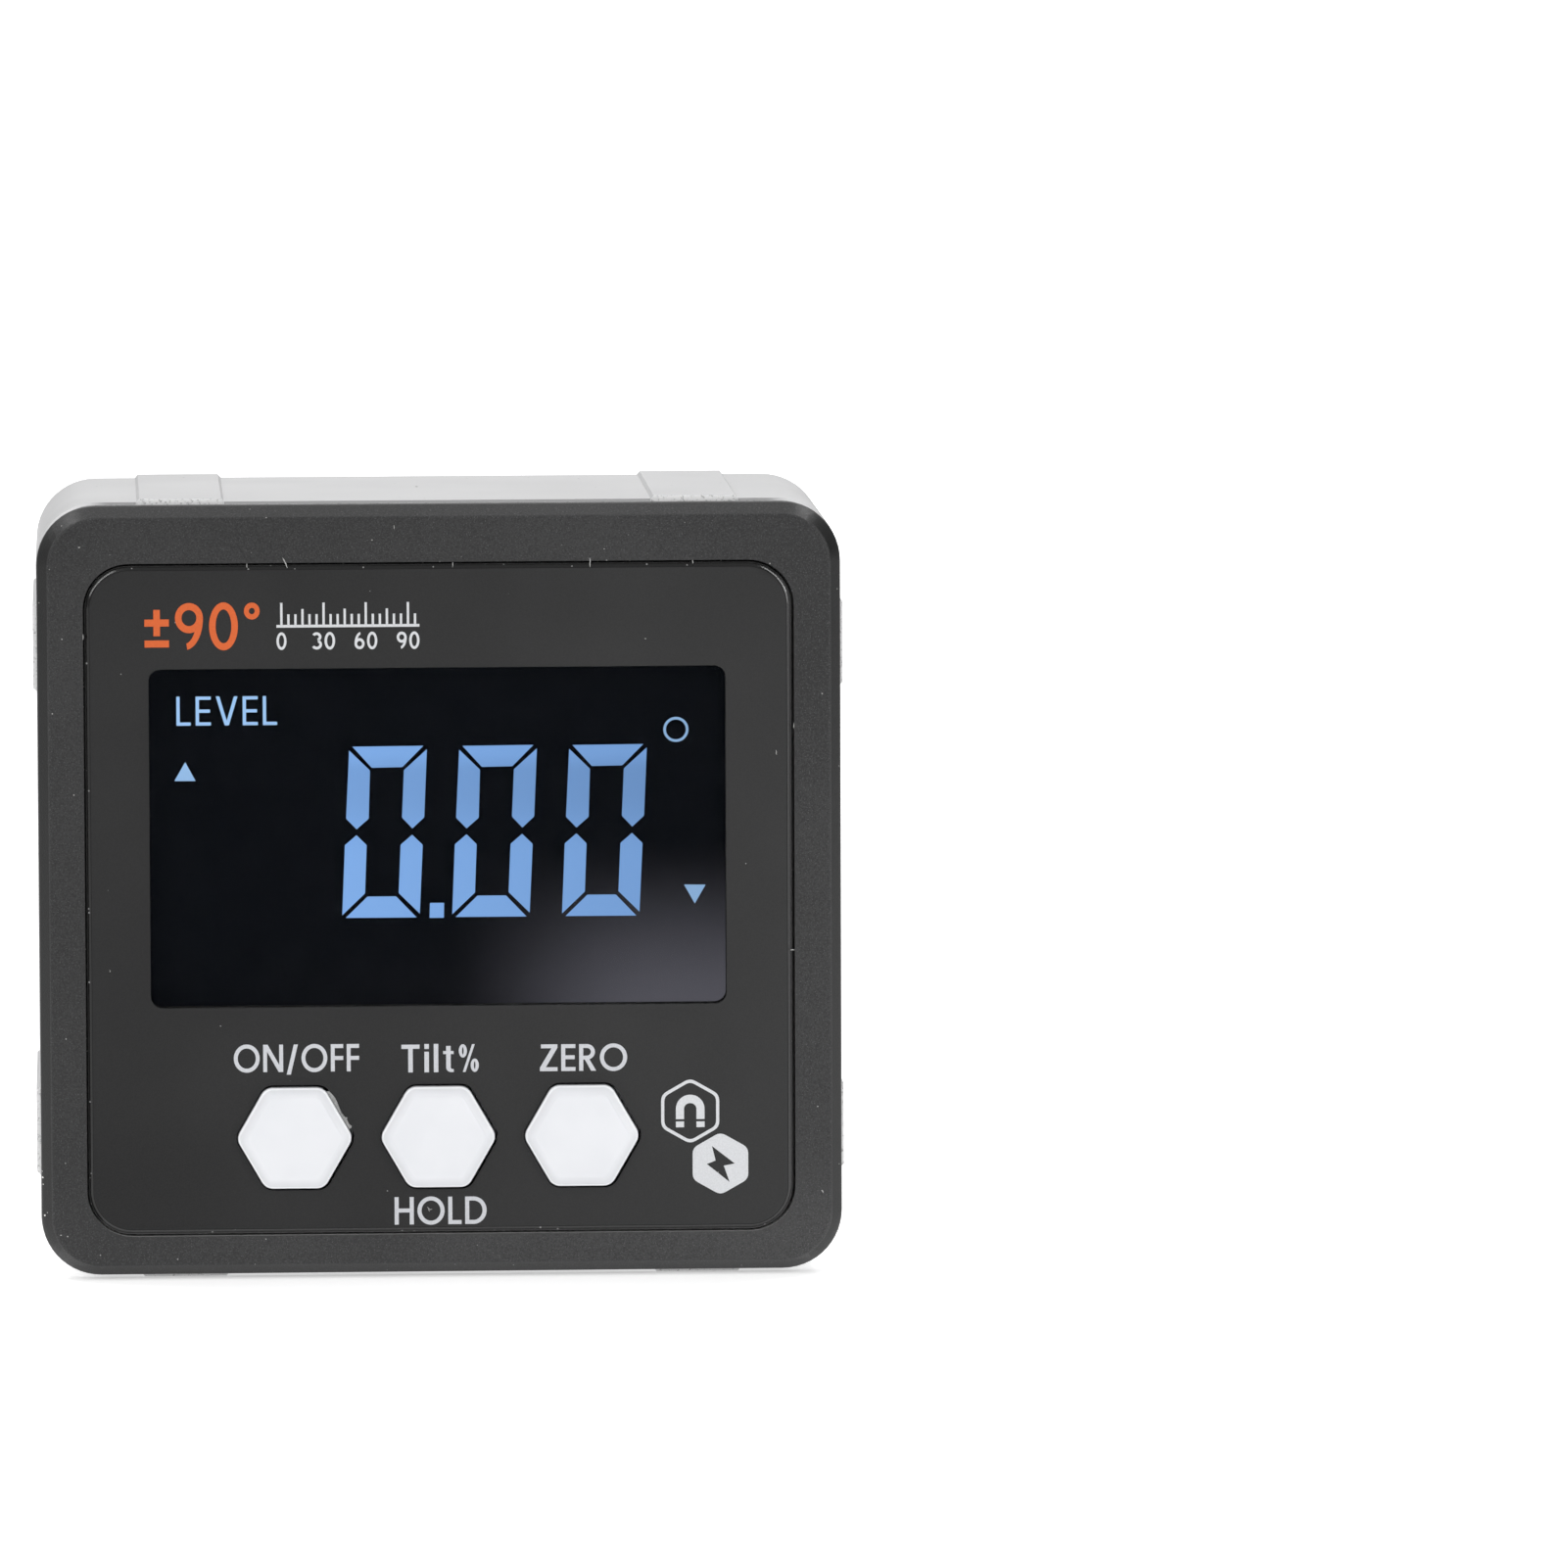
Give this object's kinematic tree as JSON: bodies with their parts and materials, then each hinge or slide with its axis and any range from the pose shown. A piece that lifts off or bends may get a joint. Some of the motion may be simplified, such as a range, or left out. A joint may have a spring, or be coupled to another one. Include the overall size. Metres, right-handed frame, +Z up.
{
  "type": "digital angle gauge",
  "caption": "Box-shaped digital angle gauge: silver ring frame with raised contact pads, dark bezel, glossy panel with lit display, white hexagonal keys and magnets in the base.",
  "frame": {"origin": "middle of the overall box in plan, on the plane of the base pads", "axes": "+X to the viewer's right facing the display, +Y towards the back, +Z up; the display faces -Y"},
  "size_m": [0.0584, 0.0288, 0.0565],
  "materials": {
    "bezel_plastic": "fine moulded texture, satin",
    "panel_acrylic": "clear gloss over dark print",
    "black_tape": "matt",
    "key_plastic": "smooth satin white",
    "seal_rubber": "matt",
    "black_plastic": "moulded",
    "spring_steel": "bright",
    "display_glass": "dark polariser",
    "light_guide": "milky",
    "led_plastic": "gloss",
    "plated_steel": "plated",
    "circuit_board": "solder mask",
    "chip_plastic": "moulded",
    "capacitor_body": "ceramic",
    "frame_aluminium": "fine blasted, silver anodised",
    "magnet_nickel": "nickel plated",
    "cell_pouch": "foil pouch",
    "foam_tape": "foam",
    "red_insulation": "insulation",
    "black_insulation": "insulation",
    "white_plastic": "moulded",
    "gold_pins": "plated",
    "rear_plastic": "fine moulded texture",
    "plug_rubber": "matt",
    "screw_steel": "blackened zinc"
  },
  "bodies": {
    "case": {"front_bezel": "bezel_plastic", "front_panel": "panel_acrylic", "panel_tape": "black_tape", "key_gaskets": "seal_rubber", "switch_bodies": "black_plastic", "switch_domes": "spring_steel", "lcd_gasket": "seal_rubber", "lcd_glass": "display_glass", "backlight_panel": "light_guide", "backlight_leds": "led_plastic", "lcd_pins": "plated_steel", "main_board": "circuit_board", "microcontroller": "chip_plastic", "tilt_sensor": "chip_plastic", "board_capacitors": "capacitor_body", "board_screws": "plated_steel", "front_seal": "seal_rubber", "frame": "frame_aluminium", "base_magnets": "magnet_nickel", "rear_seal": "seal_rubber", "battery_cell": "cell_pouch", "battery_tape": "foam_tape", "battery_lead_red": "red_insulation", "battery_lead_black": "black_insulation", "battery_connector": "white_plastic", "header_block": "black_plastic", "header_pins": "gold_pins", "charge_board": "circuit_board", "charge_controller": "chip_plastic", "charge_socket": "plated_steel", "charge_tongue": "black_plastic", "charge_board_screws": "plated_steel", "rear_cover": "rear_plastic", "case_screws": "screw_steel"},
    "key_on_off": {"key_on_off": "key_plastic", "switch_plunger_on_off": "black_plastic"},
    "key_hold": {"key_hold": "key_plastic", "switch_plunger_hold": "black_plastic"},
    "key_zero": {"key_zero": "key_plastic", "switch_plunger_zero": "black_plastic"},
    "port_plug": {"port_plug": "plug_rubber"}
  },
  "joints": [
    {"name": "key_on_off_press", "type": "slide", "parent": "case", "child": "key_on_off", "axis": [0, 1, 0], "range_m": [0, 0.0004], "stiffness_N_per_m": 3000},
    {"name": "key_hold_press", "type": "slide", "parent": "case", "child": "key_hold", "axis": [0, 1, 0], "range_m": [0, 0.0004], "stiffness_N_per_m": 3000},
    {"name": "key_zero_press", "type": "slide", "parent": "case", "child": "key_zero", "axis": [0, 1, 0], "range_m": [0, 0.0004], "stiffness_N_per_m": 3000},
    {"name": "port_plug_hinge", "type": "hinge", "parent": "case", "child": "port_plug", "pos_m": [0, 0.0136, 0.0149], "axis": [1, 0, 0], "range_deg": [0, 95]}
  ]
}
